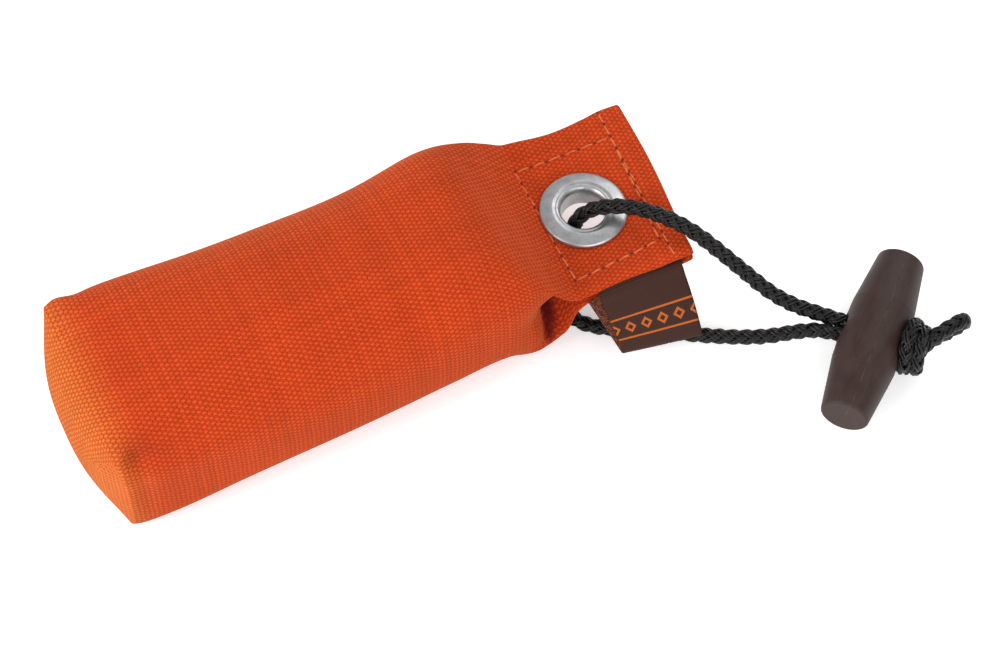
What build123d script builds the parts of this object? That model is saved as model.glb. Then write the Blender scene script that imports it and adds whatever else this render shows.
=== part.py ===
"""Pocket training bumper: a stuffed canvas bag with a flat eyelet tab, a braided cord and a toggle.

Frame, in millimetres: +X runs along the bag from its boxed, stuffed end to the tab, +Z is up, and the
origin lies on the floor under the stuffed bag. The side -Y carries the woven label.
"""
from build123d import *

import math
import os

# --- overall ------------------------------------------------------------------------------------
LENGTH = 149.0           # bag and tab together
END_X = -78.0            # outside of the swollen, boxed end

# --- canvas -------------------------------------------------------------------------------------
CANVAS = 0.9             # thickness of one ply of the heavy plain-weave canvas
PLAY = 0.3               # clear space between soft pieces that move, and around the loose filling

# --- stuffed bag --------------------------------------------------------------------------------
END_WIDTH = 47.5         # boxed end, across
END_HEIGHT = 29.5        # boxed end, upright
END_CORNER = 5.0         # corner radius of the boxed end
SWELL = 4.0              # how far the filling pushes the boxed end out
SWELL_RIM = 5.5          # the swell's face stays this far inside the end's outline
HEEL_X = 18.0            # where the boxed end has swollen to the heel section, from the end
HEEL_WIDTH = 51.5
HEEL_HEIGHT = 35.2
HEEL_CORNER = 12.0
BELLY_WIDTH = 51.0       # fullest section, its upper side nearly round
BELLY_HEIGHT = 39.5
BELLY_CORNER = 17.0
BELLY_FROM = 42.0        # the belly starts this far from the end
BELLY_TO = 36.8          # and ends this far from the mouth
SHOULDER_X = 14.8        # the shoulder, where the bag starts to narrow, from the mouth
SHOULDER_WIDTH = 51.0
SHOULDER_HEIGHT = 36.6
SHOULDER_CORNER = 15.0
NECK_X = 6.8             # the neck, from the mouth
NECK_WIDTH = 49.5
NECK_HEIGHT = 24.0
NECK_CORNER = 10.0
MOUTH_HEIGHT = 4.8       # pressed flat at the mouth, where the tab begins
SAG = 0.8                # how far the round underside is flattened by the floor
NECK_LIFT = 1.4          # the neck's middle lies this far under the tab's middle

# --- seams inside the bag -----------------------------------------------------------------------
ALLOWANCE = 8.0          # seam allowance left inside each seam
END_SEAM_WIDTH = 30.0    # across the boxed end
LONG_SEAM_LENGTH = 62.0  # along the underside
LONG_SEAM_X = 6.0        # where the long seam starts, from the boxed end
THREAD = 0.6             # sewing thread, laid
STITCH = 2.5             # visible length of one stitch
STITCH_PITCH = 3.4

# --- tab ----------------------------------------------------------------------------------------
TAB_WIDTH = 46.0
TAB_LENGTH = 32.1        # from the flexing line to the end edge
TAB_Z = 19.0             # height of the tab's middle
TAB_CORNER = 1.6         # corners of the end edge, seen from above
GUSSET_DEPTH = 12.0      # how deep the side gussets are folded in between the plies
HEM_DEPTH = 8.5          # end hem, turned in between the plies
HEM_ROW = 5.4            # hem stitching, from the end edge
BOX_LENGTH = 25.0        # box stitching around the eyelet
BOX_WIDTH = 32.4
BOX_X = 13.6             # its middle, from the flexing line
BOX_Y = -1.2

# --- eyelet -------------------------------------------------------------------------------------
EYELET_X = 12.2          # from the flexing line
EYELET_Y = -1.5
EYELET_OUTER = 21.0      # flange diameter
EYELET_BORE = 10.0
EYELET_SHEET = 0.6       # stamped sheet
EYELET_CROWN = 1.7       # height of the rounded flange above the canvas
WASHER_OUTER = 20.4
BARREL_FIT = 0.15        # clear space around the barrel in canvas and washer
CLENCH = 1.9             # width of the rolled lip under the washer

# --- woven label --------------------------------------------------------------------------------
LABEL_WIDTH = 21.5
LABEL_DROP = 17.0        # visible length, edge of the tab to the fold
LABEL_THICK = 0.8        # two layers, folded
LABEL_SEWN = 5.0         # caught between the plies
LABEL_X = 16.8           # its middle, from the flexing line
LABEL_PITCH = 51.0       # degrees below level

# --- cord, knot and toggle ----------------------------------------------------------------------
CORD = 3.5               # braided cord diameter
STRAND_SPACING = 3.7     # between the two strands in the toggle
CORD_SEAT = 0.02         # the cord's end faces, off the knot's face
TOGGLE_X = 100.7         # middle of the toggle
TOGGLE_Y = -55.5
TOGGLE_TURN = 43.2       # degrees from +X to the toggle's long axis
TOGGLE_LENGTH = 45.4
TOGGLE_BELLY = 15.7
TOGGLE_END = 11.4
TOGGLE_WAIST = 15.1      # diameter at the slight break between belly and taper
TOGGLE_BREAK = 8.0       # that break, from the middle
TOGGLE_EDGE = 0.8        # rounding of the end edges
TOGGLE_HOLE = 7.8        # cross hole for both strands
TOGGLE_LIFT = 0.05       # the toggle's clear height over the floor
KNOT_GAP = 0.35          # the knot's face off the toggle's belly
KNOT_DEPTH = 6.2         # along the cross hole
KNOT_WIDTH = 13.4        # along the toggle
KNOT_HEIGHT = 12.0
KNOT_CORNER = 2.4
KNOT_RISE = 1.1          # the knot's middle lies this far over the hole's axis
TAIL_LENGTH = 9.8        # tails beyond the knot, up to the melted end
TAIL_ALONG = 2.4         # where they leave the knot, along the toggle from the hole's axis
TAIL_RISE = 2.6          # and over that axis
TAIL_TURN = 12.0         # degrees from +X
TAIL_PITCH = -10.0       # degrees, down to the end
TAIL_ROLL = 50.0         # degrees, one tail lying partly over the other
MELT_LENGTH = 1.2        # the melted, flattened end that joins both tails
MELT_OVERLAP = 0.5       # how far its face stays inside the tails' outline

# --- worked out from the sizes above ------------------------------------------------------------
STACK = 4 * CANVAS                                   # upper ply, folded gusset, lower ply
TAB_END = END_X + LENGTH
FLEX_X = TAB_END - TAB_LENGTH                        # flexing line between bag and tab
BAG_LENGTH = FLEX_X - STACK / 2 - PLAY - END_X       # from the boxed end to the mouth
TOP = TAB_Z + STACK / 2
UNDER = TAB_Z - STACK / 2
EYELET = Vector(FLEX_X + EYELET_X, EYELET_Y, TAB_Z)
BARREL = EYELET_BORE + 2 * EYELET_SHEET
CUT = BARREL + 2 * BARREL_FIT
TOGGLE_Z = TOGGLE_BELLY / 2 + TOGGLE_LIFT
TOGGLE_MIDDLE = Vector(TOGGLE_X, TOGGLE_Y, TOGGLE_Z)
ALONG = Vector(math.cos(math.radians(TOGGLE_TURN)), math.sin(math.radians(TOGGLE_TURN)), 0)
THROUGH = Vector(ALONG.Y, -ALONG.X, 0)               # cross hole, from the eyelet's side to the knot
KNOT_FACE = TOGGLE_BELLY / 2 + KNOT_GAP
TOGGLE_FRAME = Plane(origin=TOGGLE_MIDDLE, x_dir=THROUGH, z_dir=(0, 0, 1))


def in_toggle(through, along, height=0.0):
    """A point given along the cross hole, along the toggle and above its axis."""
    return TOGGLE_MIDDLE + THROUGH * through + ALONG * along + Vector(0, 0, height)


def save(shape, node):
    """Write one node's STEP file."""
    export_step(shape, os.path.join("parts", node + ".step"))
    print(f"{node:24s} {shape.volume / 1000:9.3f} cm3")


# --- bag ----------------------------------------------------------------------------------------
def bag_solid(inset):
    """The stuffed bag's shape, drawn in by inset on every side and flat where it rests."""
    neck_middle = TAB_Z - NECK_LIFT
    sections = (
        (0, END_WIDTH - 2 * SWELL_RIM, SWELL_RIM - SAG, END_HEIGHT - SWELL_RIM, END_CORNER),
        (SWELL, END_WIDTH, -SAG, END_HEIGHT, END_CORNER),
        (HEEL_X, HEEL_WIDTH, -SAG, HEEL_HEIGHT, HEEL_CORNER),
        (BELLY_FROM, BELLY_WIDTH, -SAG, BELLY_HEIGHT, BELLY_CORNER),
        (BAG_LENGTH - BELLY_TO, BELLY_WIDTH, -SAG, BELLY_HEIGHT, BELLY_CORNER),
        (BAG_LENGTH - SHOULDER_X, SHOULDER_WIDTH, SAG, SAG + SHOULDER_HEIGHT, SHOULDER_CORNER),
        (BAG_LENGTH - NECK_X, NECK_WIDTH, neck_middle - NECK_HEIGHT / 2, neck_middle + NECK_HEIGHT / 2,
         NECK_CORNER),
        (BAG_LENGTH, TAB_WIDTH, TAB_Z - MOUTH_HEIGHT / 2, TAB_Z + MOUTH_HEIGHT / 2, MOUTH_HEIGHT * 0.45),
    )
    faces = []
    for index, (along, width, low, high, corner) in enumerate(sections):
        ends = {0: inset, len(sections) - 1: -inset}
        plane = Plane(origin=(END_X + along + ends.get(index, 0), 0, (low + high) / 2),
                      x_dir=(0, 1, 0), z_dir=(1, 0, 0))
        height = high - low - 2 * inset
        radius = max(min(corner - inset, height * 0.45), height * 0.1)
        faces.append(plane * RectangleRounded(width - 2 * inset, height, radius))
    shape = loft(faces, ruled=True)
    room = Pos(END_X, 0, inset) * Box(2 * BAG_LENGTH + 2 * TAB_LENGTH, 2 * BELLY_WIDTH, 4 * BELLY_HEIGHT,
                                      align=(Align.CENTER, Align.CENTER, Align.MIN))
    return shape & room


def end_seam(grow=0.0):
    """Two plies of seam allowance that stand inward from the boxed end."""
    depth = ALLOWANCE + grow
    return Pos(END_X + CANVAS + depth / 2, 0, END_HEIGHT / 2) * Box(
        depth, END_SEAM_WIDTH + 2 * grow, 2 * CANVAS + 2 * grow + 2 * (THREAD if grow else 0))


def long_seam(grow=0.0):
    """Seam allowance pressed open on the inside of the underside."""
    height = CANVAS + (THREAD if grow else 0) + grow
    return Pos(END_X + LONG_SEAM_X + ALLOWANCE + LONG_SEAM_LENGTH / 2, 0, CANVAS + height / 2) * Box(
        LONG_SEAM_LENGTH + 2 * grow, 2 * ALLOWANCE * 0.75 + 2 * grow, height)


def stitch_row(start, end, height, side):
    """Separate stitches from start to end, laid on a level face; side is +1 above it, -1 below."""
    line = Vector(*end) - Vector(*start)
    count = max(1, int(line.length // STITCH_PITCH))
    turn = math.degrees(math.atan2(line.Y, line.X))
    bar = Box(STITCH, THREAD, THREAD * 0.6)
    stitches = []
    for index in range(count):
        middle = Vector(*start) + line * ((index + 0.5) / count)
        place = Pos(middle.X, middle.Y, height + side * THREAD * 0.3) * Rot(0, 0, turn)
        stitches.append(place * bar)
    return stitches


# --- tab ----------------------------------------------------------------------------------------
def tab_outline():
    """Everything within the tab's outline: square at the end, a round nose at the flexing line."""
    plate = Pos((FLEX_X + TAB_END) / 2, 0, TAB_Z) * Box(TAB_LENGTH, TAB_WIDTH, STACK)
    corners = plate.edges().filter_by(Axis.Z).group_by(Axis.X)[-1]
    nose = Pos(FLEX_X, 0, TAB_Z) * Rot(90, 0, 0) * Cylinder(STACK / 2, TAB_WIDTH)
    return fillet(corners, TAB_CORNER) + nose


def layer(low, high, y_from, y_to, x_from=None):
    """A level slice of the tab between two heights, two sides and its end edge."""
    x_from = FLEX_X - STACK if x_from is None else x_from
    return Pos(x_from, y_from, low) * Box(TAB_END - x_from, y_to - y_from, high - low,
                                          align=(Align.MIN, Align.MIN, Align.MIN))


def eyelet_cut():
    """The hole punched through the tab for the eyelet's barrel."""
    return Pos(EYELET.X, EYELET.Y, TAB_Z) * Cylinder(CUT / 2, 4 * STACK)


def ring(outer, inner, low, high):
    """A plain ring about the eyelet's axis."""
    body = Cylinder(outer / 2, high - low) - Cylinder(inner / 2, 2 * (high - low))
    return Pos(EYELET.X, EYELET.Y, (low + high) / 2) * body


def eyelet_flange():
    """Flange, barrel and rolled lip in one stamping, revolved from the middle line of its sheet."""
    half = EYELET_SHEET / 2
    wall = EYELET_BORE / 2 + half
    outer = EYELET_OUTER / 2 - half
    lip = UNDER - EYELET_SHEET - half - BARREL_FIT / 3
    crown = TOP + EYELET_CROWN - half
    corners = [(outer, TOP + half), (outer - 0.9, crown - 0.35), (wall + 2.2, crown), (wall, crown - 1.0),
               (wall, lip), (wall + CLENCH, lip)]
    path = FilletPolyline(*corners, radius=[0.5, 1.2, 1.0, 0.55])
    section = Plane.XZ * trace(path, line_width=EYELET_SHEET)
    return Pos(EYELET.X, EYELET.Y, 0) * revolve(section, Axis.Z)


def eyelet_washer():
    """Flat washer under the tab, its lower rim rounded."""
    washer = ring(WASHER_OUTER, CUT, UNDER - EYELET_SHEET, UNDER)
    rim = washer.edges().filter_by(GeomType.CIRCLE).group_by(Axis.Z)[0].sort_by(SortBy.RADIUS)[-1]
    return fillet(rim, EYELET_SHEET * 0.6)


# --- label --------------------------------------------------------------------------------------
def label_flap():
    """The folded label that hangs from the tab's edge, rounded at its fold and at the hinge line."""
    flap = Box(LABEL_WIDTH, LABEL_DROP, LABEL_THICK, align=(Align.CENTER, Align.MAX, Align.CENTER))
    ends = flap.edges().filter_by(Axis.X)
    flap = fillet(ends, LABEL_THICK * 0.45)
    hinge_y = -TAB_WIDTH / 2 - PLAY - LABEL_THICK / 2
    return Pos(FLEX_X + LABEL_X, hinge_y, TAB_Z) * Rot(LABEL_PITCH, 0, 0) * flap


# --- cord ---------------------------------------------------------------------------------------
def cord_points():
    """Route of the loop: knot, toggle, over the tab's end, down the eyelet, under the tab and back."""
    far = STRAND_SPACING / 2
    return [
        in_toggle(KNOT_FACE - CORD_SEAT, far),
        in_toggle(0, far, 0.05),
        in_toggle(-11, far, 0.1),
        Vector(84.3, -39.0, 12.0),
        Vector(76.8, -28.0, 19.0),
        Vector(69.9, -18.0, 24.7),
        Vector(61.6, -9.4, 26.4),
        Vector(53.6, -4.4, 25.2),
        Vector(48.9, -2.3, 20.6),
        Vector(47.9, -3.0, 14.4),
        Vector(44.7, -6.0, 9.2),
        Vector(41.2, -10.0, 5.2),
        Vector(40.0, -15.0, 2.8),
        Vector(42.7, -19.9, 2.1),
        Vector(49.5, -24.6, 2.1),
        Vector(58.6, -29.4, 2.1),
        Vector(68.2, -35.5, 2.1),
        Vector(79.0, -41.6, 2.8),
        Vector(86.6, -45.3, 6.0),
        in_toggle(-11, -far, 0.1),
        in_toggle(0, -far, 0.05),
        in_toggle(KNOT_FACE - CORD_SEAT, -far),
    ]


def cord_tube(points):
    """A round tube of straight runs joined by tangent arcs, as large as the shorter run allows."""
    radii = []
    for before, here, after in zip(points, points[1:], points[2:]):
        turn = (here - before).get_angle(after - here)
        run = min((here - before).length, (after - here).length)
        radii.append(0.45 * run / math.tan(math.radians(turn / 2)))
        print(f"  turn {turn:5.1f} deg  run {run:5.1f} mm  radius {radii[-1]:6.1f} mm")
    path = FilletPolyline(*points, radius=radii)
    start = Plane(origin=points[0], z_dir=points[1] - points[0])
    tube = sweep(start * Circle(CORD / 2), path=path)
    print(f"  cord {path.length:.1f} mm, volume {tube.volume:.0f}, section x length "
          f"{math.pi * CORD ** 2 / 4 * path.length:.0f} mm3")
    return tube


def cord_knot():
    """The double overhand knot's outer shape: its flat face towards the toggle."""
    block = Box(KNOT_DEPTH, KNOT_WIDTH, KNOT_HEIGHT)
    block = fillet(block.edges(), KNOT_CORNER)
    return TOGGLE_FRAME * Pos(KNOT_FACE + KNOT_DEPTH / 2, 0, KNOT_RISE) * block


def tail_frame():
    """Frame at the knot's outer face: +X runs along the tails."""
    start = in_toggle(KNOT_FACE + KNOT_DEPTH, TAIL_ALONG, TAIL_RISE)
    return Plane(origin=start, z_dir=(0, 0, 1)) * Rot(0, 0, TAIL_TURN) * Rot(TAIL_ROLL, -TAIL_PITCH, 0)


def cord_tails():
    """Both cord ends side by side, from within the knot to the melted end."""
    strand = Rot(0, 90, 0) * Cylinder(CORD / 2, TAIL_LENGTH + KNOT_DEPTH,
                                      align=(Align.CENTER, Align.CENTER, Align.MIN))
    return [tail_frame() * Pos(-KNOT_DEPTH, side * CORD / 2, 0) * strand for side in (-1, 1)]


def cord_melt():
    """The plug of melted cord across both ends."""
    width = 2 * CORD - 2 * MELT_OVERLAP
    face = Plane(origin=(TAIL_LENGTH, 0, 0), x_dir=(0, 1, 0), z_dir=(1, 0, 0))
    return tail_frame() * extrude(face * SlotOverall(width, CORD - 2 * MELT_OVERLAP), MELT_LENGTH)


# --- toggle -------------------------------------------------------------------------------------
def toggle():
    """A turned spindle with a cross hole: a nearly straight belly and tapered ends."""
    half = TOGGLE_LENGTH / 2
    profile = Polyline((0, -half), (TOGGLE_END / 2, -half), (TOGGLE_WAIST / 2, -TOGGLE_BREAK),
                       (TOGGLE_BELLY / 2, 0), (TOGGLE_WAIST / 2, TOGGLE_BREAK), (TOGGLE_END / 2, half),
                       (0, half), close=True)
    section = make_face(profile)
    ends = section.vertices().filter_by(lambda v: v.X > 0 and abs(v.Y) > half - TOGGLE_EDGE)
    section = fillet(ends, TOGGLE_EDGE)
    spindle = revolve(section, Axis.Y)
    bore = Rot(0, 90, 0) * Cylinder(TOGGLE_HOLE / 2, 2 * TOGGLE_BELLY)
    return TOGGLE_FRAME * (spindle - bore)


def main():
    os.makedirs("parts", exist_ok=True)

    skin = bag_solid(0)
    save(skin - bag_solid(CANVAS), "canvas_sleeve")
    filling = bag_solid(CANVAS + PLAY) - end_seam(PLAY) - long_seam(PLAY)
    save(filling, "granulate_fill")
    save(end_seam(), "end_seam_allowance")
    save(long_seam(), "long_seam_allowance")
    seam_x = END_X + CANVAS + ALLOWANCE / 2
    end_row = []
    for side in (-1, 1):
        height = END_HEIGHT / 2 + side * CANVAS
        end_row += stitch_row((seam_x, -END_SEAM_WIDTH / 2), (seam_x, END_SEAM_WIDTH / 2), height, side)
    save(Compound(end_row), "end_seam_thread")
    long_from = END_X + LONG_SEAM_X + ALLOWANCE
    save(Compound(stitch_row((long_from, 0), (long_from + LONG_SEAM_LENGTH, 0), 2 * CANVAS, 1)),
         "long_seam_thread")

    outline = tab_outline()
    cut = eyelet_cut()
    half = TAB_WIDTH / 2
    save(outline & layer(TOP - CANVAS, TOP, -half, half) - cut, "tab_upper_ply")
    save(outline & layer(UNDER, UNDER + CANVAS, -half, half) - cut, "tab_lower_ply")
    sewn = Pos(FLEX_X + LABEL_X, -half, TAB_Z) * Box(LABEL_WIDTH, LABEL_SEWN, LABEL_THICK,
                                                    align=(Align.CENTER, Align.MIN, Align.CENTER))
    near = outline & layer(UNDER + CANVAS, TOP - CANVAS, -half, -half + GUSSET_DEPTH)
    save(near - sewn, "gusset_fold_near")
    save(outline & layer(UNDER + CANVAS, TOP - CANVAS, half - GUSSET_DEPTH, half), "gusset_fold_far")
    hem_side = half - GUSSET_DEPTH
    hem_from = TAB_END - HEM_DEPTH
    save(layer(TAB_Z, TOP - CANVAS, -hem_side, hem_side, hem_from) - cut, "end_hem_upper")
    save(layer(UNDER + CANVAS, TAB_Z, -hem_side, hem_side, hem_from) - cut, "end_hem_lower")

    box_x = FLEX_X + BOX_X
    corners = [(box_x + sx * BOX_LENGTH / 2, BOX_Y + sy * BOX_WIDTH / 2)
               for sx, sy in ((-1, -1), (1, -1), (1, 1), (-1, 1))]
    box_row = []
    hem_row = []
    for height, side in ((TOP, 1), (UNDER, -1)):
        for start, end in zip(corners, corners[1:] + corners[:1]):
            box_row += stitch_row(start, end, height, side)
        hem_x = TAB_END - HEM_ROW
        hem_row += stitch_row((hem_x, -half), (hem_x, half), height, side)
    save(Compound(box_row), "box_stitching")
    save(Compound(hem_row), "hem_stitching")
    save(eyelet_flange(), "eyelet_flange")
    save(eyelet_washer(), "eyelet_washer")
    save(sewn, "label_sewn_end")
    save(label_flap(), "woven_label")

    points = cord_points()
    save(cord_tube(points), "cord_loop")
    knot = cord_knot()
    save(knot, "cord_knot")
    save(Compound([tail - knot for tail in cord_tails()]), "cord_tails")
    save(cord_melt(), "cord_melt")
    save(toggle(), "toggle")


main()
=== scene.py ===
"""Looks of a pocket training bumper: canvas bag, eyelet tab, woven label, braided cord and toggle.

Everything is in the frame of the solids: +X from the boxed end to the tab, +Z up, and the label
hangs from the tab's -Y side. Meshes are in metres, and the shapes of bag, tab, label and eyelet
are worked out in millimetres.
"""
from __future__ import annotations

import logging
import math
from dataclasses import dataclass, field
from enum import Enum
from functools import cached_property, partialmethod
from typing import NamedTuple, Sequence

import bmesh
import bpy
from mathutils import Matrix, Vector
from mathutils.bvhtree import BVHTree
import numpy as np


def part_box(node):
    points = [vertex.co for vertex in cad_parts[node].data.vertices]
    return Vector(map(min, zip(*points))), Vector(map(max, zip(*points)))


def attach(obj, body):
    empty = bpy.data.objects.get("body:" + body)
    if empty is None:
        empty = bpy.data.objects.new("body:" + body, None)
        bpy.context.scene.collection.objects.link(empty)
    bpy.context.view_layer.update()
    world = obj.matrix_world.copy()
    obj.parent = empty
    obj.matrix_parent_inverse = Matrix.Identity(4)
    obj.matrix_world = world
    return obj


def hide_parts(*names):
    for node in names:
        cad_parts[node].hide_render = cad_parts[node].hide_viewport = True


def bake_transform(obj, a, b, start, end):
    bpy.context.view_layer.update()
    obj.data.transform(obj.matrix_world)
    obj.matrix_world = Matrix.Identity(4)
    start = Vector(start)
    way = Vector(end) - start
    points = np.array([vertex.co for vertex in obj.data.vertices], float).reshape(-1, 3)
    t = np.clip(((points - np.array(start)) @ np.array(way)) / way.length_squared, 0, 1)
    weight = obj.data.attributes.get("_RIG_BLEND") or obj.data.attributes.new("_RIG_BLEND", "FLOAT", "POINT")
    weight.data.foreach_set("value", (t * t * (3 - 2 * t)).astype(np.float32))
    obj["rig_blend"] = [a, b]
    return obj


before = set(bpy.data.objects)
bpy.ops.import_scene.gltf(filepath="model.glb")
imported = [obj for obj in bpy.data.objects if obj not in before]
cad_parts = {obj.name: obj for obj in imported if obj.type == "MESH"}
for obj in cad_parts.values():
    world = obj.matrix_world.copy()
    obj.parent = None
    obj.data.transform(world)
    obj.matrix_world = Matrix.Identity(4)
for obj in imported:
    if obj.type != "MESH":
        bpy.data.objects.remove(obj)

logging.basicConfig(level=logging.INFO, format="%(message)s")
LOG = logging.getLogger("bumper")
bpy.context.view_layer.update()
MM = 0.001
UP = Vector((0.0, 0.0, 1.0))

Colour = tuple[float, float, float]
Flat = tuple[float, float]
Keys = Sequence[Flat]
Spots = dict[bmesh.types.BMVert, tuple[int, int]]
Form = bmesh.types.BMesh
Curve = bpy.types.Curve
Material = bpy.types.Material
Mesh = bpy.types.Mesh
Piece = bpy.types.Object
Socket = bpy.types.NodeSocket

WHITE: Colour = (1.0, 1.0, 1.0)


# --- small helpers ---
def smoothstep(value: float) -> float:
    """Ease from 0 to 1 over the same span of value."""
    value = min(1.0, max(0.0, value))
    return value * value * (3.0 - 2.0 * value)


def eased(value: float, start: float, end: float) -> float:
    """Ease from 0 at start to 1 at end."""
    return smoothstep((value - start) / (end - start))


def keyed(keys: Keys, at: float) -> float:
    """Read a value off a smooth line through keyed places.

    Args:
        keys: Pairs of place and value, in order of place.
        at: The place to read at.

    Returns:
        The value there, held level outside the keys.
    """
    if at <= keys[0][0]:
        return keys[0][1]
    for index in range(len(keys) - 1):
        (x0, y0), (x1, y1) = keys[index], keys[index + 1]
        if at <= x1:
            before = keys[max(index - 1, 0)]
            after = keys[min(index + 2, len(keys) - 1)]
            slope0 = (y1 - before[1]) / (x1 - before[0])
            slope1 = (after[1] - y0) / (after[0] - x0)
            span = x1 - x0
            t = (at - x0) / span
            return ((2 * t ** 3 - 3 * t ** 2 + 1) * y0 + (t ** 3 - 2 * t ** 2 + t) * span * slope0
                    + (3 * t ** 2 - 2 * t ** 3) * y1 + (t ** 3 - t ** 2) * span * slope1)
    return keys[-1][1]


def spaced(points: Sequence[Sequence[float]], count: int) -> list[tuple[float, ...]]:
    """Spread even steps over a line of points.

    Args:
        points: The line, flat or in space.
        count: Number of steps.

    Returns:
        count + 1 points, both ends kept.
    """
    reach = [0.0]
    for before, here in zip(points, points[1:]):
        reach.append(reach[-1] + math.dist(before, here))
    found, index = [], 0
    for number in range(count + 1):
        target = reach[-1] * number / count
        while index < len(points) - 2 and reach[index + 1] < target:
            index += 1
        span = reach[index + 1] - reach[index]
        share = (target - reach[index]) / span if span else 0.0
        found.append(tuple(a + (b - a) * share for a, b in zip(points[index], points[index + 1])))
    return found


def line_length(points: Sequence[Vector]) -> float:
    """Length of a line of points."""
    return sum(math.dist(before, here) for before, here in zip(points, points[1:]))


def evenly(points: Sequence[Vector], step: float) -> list[Vector]:
    """Space points evenly along a line, about one step apart, both ends kept."""
    return [Vector(point) for point in spaced(points, max(2, round(line_length(points) / step)))]


def add_object(name: str, data: bpy.types.ID, material: Material | None = None) -> Piece:
    """Put a mesh, curve, lamp or camera into the scene as an object at the origin."""
    piece = bpy.data.objects.new(name, data)
    bpy.context.scene.collection.objects.link(piece)
    if material is not None:
        data.materials.append(material)
    return piece


def mesh_from(form: Form, name: str) -> Mesh:
    """Turn a finished bmesh into a smooth mesh with outward faces, and free it."""
    bmesh.ops.recalc_face_normals(form, faces=form.faces)
    mesh = bpy.data.meshes.new(name)
    for face in form.faces:
        face.smooth = True
    form.to_mesh(mesh)
    form.free()
    return mesh


def apply_modifiers(piece: Piece) -> None:
    """Bake every modifier of a piece into its mesh."""
    depsgraph = bpy.context.evaluated_depsgraph_get()
    baked = bpy.data.meshes.new_from_object(piece.evaluated_get(depsgraph), depsgraph=depsgraph)
    piece.modifiers.clear()
    piece.data = baked


def middle_of(node: str) -> Vector:
    """Middle of a solid's box."""
    low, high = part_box(node)
    return (low + high) / 2


# --- finishes ---
def feed(socket: Socket, value: object) -> None:
    """Link a socket to a signal, or set its value. A tuple is a colour with full cover."""
    if isinstance(value, Signal):
        value.tree.links.new(value.socket, socket)
    else:
        socket.default_value = (*value, 1.0) if isinstance(value, tuple) else value


@dataclass
class Signal:
    """A value on its way through a material's nodes. Its operators add Math nodes."""

    tree: bpy.types.NodeTree
    socket: Socket

    def math(self, operation: str, other: object = 0.0) -> Signal:
        """Add a Math node behind this value and return its result."""
        made = self.tree.nodes.new("ShaderNodeMath")
        made.operation = operation
        feed(made.inputs[0], self)
        feed(made.inputs[1], other)
        return Signal(self.tree, made.outputs[0])

    __add__ = partialmethod(math, "ADD")
    __sub__ = partialmethod(math, "SUBTRACT")
    __mul__ = partialmethod(math, "MULTIPLY")
    __truediv__ = partialmethod(math, "DIVIDE")
    __abs__ = partialmethod(math, "ABSOLUTE")

    def wave(self, period: float) -> Signal:
        """A sine wave with the given period."""
        return (self * (2 * math.pi / period)).math("SINE")

    def ramp(self, low: float, high: float, to_low: float = 0.0, to_high: float = 1.0) -> Signal:
        """Map a span of values smoothly onto another span."""
        made = self.tree.nodes.new("ShaderNodeMapRange")
        made.interpolation_type = "SMOOTHSTEP"
        for socket, value in zip(made.inputs, (self, low, high, to_low, to_high)):
            feed(socket, value)
        return Signal(self.tree, made.outputs[0])


class Finish:
    """A material under construction, with short names for its nodes."""

    def __init__(self, name: str) -> None:
        """Start an empty material whose output is a Principled shader.

        Args:
            name: The material's name.
        """
        self.material = bpy.data.materials.new(name)
        self.material.use_nodes = True
        self.tree = self.material.node_tree
        self.shader = self.tree.nodes["Principled BSDF"]

    def node(self, kind: str, output: int | str = 0, options: dict | None = None,
             **inputs: object) -> Signal:
        """Add a node.

        Args:
            kind: Its type, without the leading ShaderNode.
            output: Name or number of the output to return.
            options: Settings of the node itself.
            inputs: Values of its sockets, named with underscores for spaces.

        Returns:
            The chosen output.
        """
        made = self.tree.nodes.new("ShaderNode" + kind)
        for key, value in (options or {}).items():
            setattr(made, key, value)
        for key, value in inputs.items():
            feed(made.inputs[key.replace("_", " ")], value)
        return Signal(self.tree, made.outputs[output])

    def vector(self, operation: str, *values: object) -> Signal:
        """Add a Vector Math node and return its result."""
        made = self.tree.nodes.new("ShaderNodeVectorMath")
        made.operation = operation
        for socket, value in zip(made.inputs, values):
            feed(socket, value)
        return Signal(self.tree, made.outputs["Value" if operation == "DOT_PRODUCT" else "Vector"])

    def mix(self, share: object, first: object, second: object) -> Signal:
        """Mix two colours by a share of the second."""
        made = self.tree.nodes.new("ShaderNodeMix")
        made.data_type = "RGBA"
        feed(made.inputs[0], share)
        feed(made.inputs[6], first)
        feed(made.inputs[7], second)
        return Signal(self.tree, made.outputs[2])

    def noise(self, place: Signal, scale: float, detail: float = 2.0) -> Signal:
        """Add fine noise and return its factor."""
        return self.node("TexNoise", Vector=place, Scale=scale, Detail=detail)

    def object_place(self) -> Signal:
        """The point on the piece, in metres."""
        return self.node("TexCoord", "Object")

    def parts(self, place: Signal) -> list[Signal]:
        """Split a place into its three coordinates."""
        made = self.tree.nodes.new("ShaderNodeSeparateXYZ")
        feed(made.inputs[0], place)
        return [Signal(self.tree, output) for output in made.outputs]

    def cloth_place(self, uv_map: str | None) -> tuple[Signal, Signal, Signal]:
        """The point on the cloth's map, or on the piece, whole and as two parts, in metres."""
        place = self.node("UVMap", options={"uv_map": uv_map}) if uv_map else self.object_place()
        along, across, _ = self.parts(place)
        return place, along, across

    def bump(self, height: Signal, distance: float, strength: float = 1.0) -> None:
        """Send a height, in shares of distance, to the shader's normal."""
        self.surface(Normal=self.node("Bump", Height=height, Distance=distance, Strength=strength))

    def surface(self, **values: object) -> None:
        """Set or link the shader's own sockets."""
        for key, value in values.items():
            feed(self.shader.inputs[key.replace("_", " ")], value)


def shade(colour: Colour, factor: float) -> Colour:
    """A colour made darker or lighter."""
    return tuple(part * factor for part in colour)


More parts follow.
